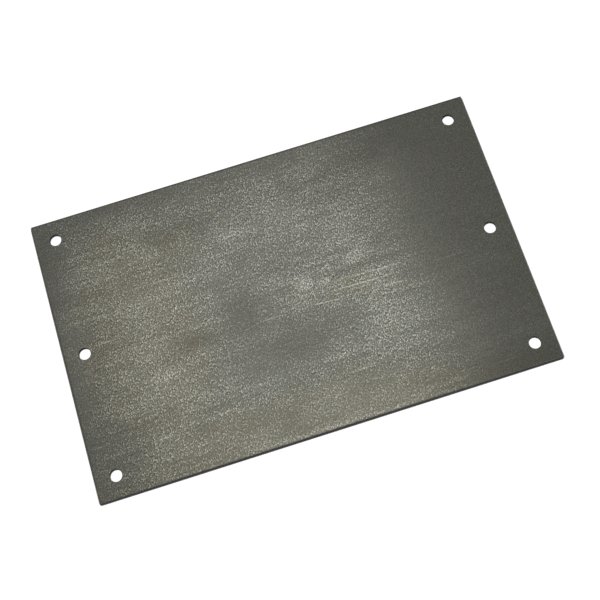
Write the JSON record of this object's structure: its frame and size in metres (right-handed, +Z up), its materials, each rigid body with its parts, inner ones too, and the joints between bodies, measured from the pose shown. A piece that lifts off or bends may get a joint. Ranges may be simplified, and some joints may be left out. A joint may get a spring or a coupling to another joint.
{
  "type": "steel plate",
  "caption": "Flat rectangular plate of rolled steel with sheared square edges and a row of round clearance holes along each short side, for screwing it down or joining it to other parts.",
  "frame": {"origin": "centre of the underside, on the floor that the plate lies on", "axes": "+X along the plate's length, +Y across its width, +Z up through its thickness, out of the face with the rolled-over edges"},
  "size_m": [0.35, 0.22, 0.003],
  "materials": {
    "steel": "mill finish"
  },
  "bodies": {
    "root": {"steel_plate": "steel"}
  },
  "joints": []
}
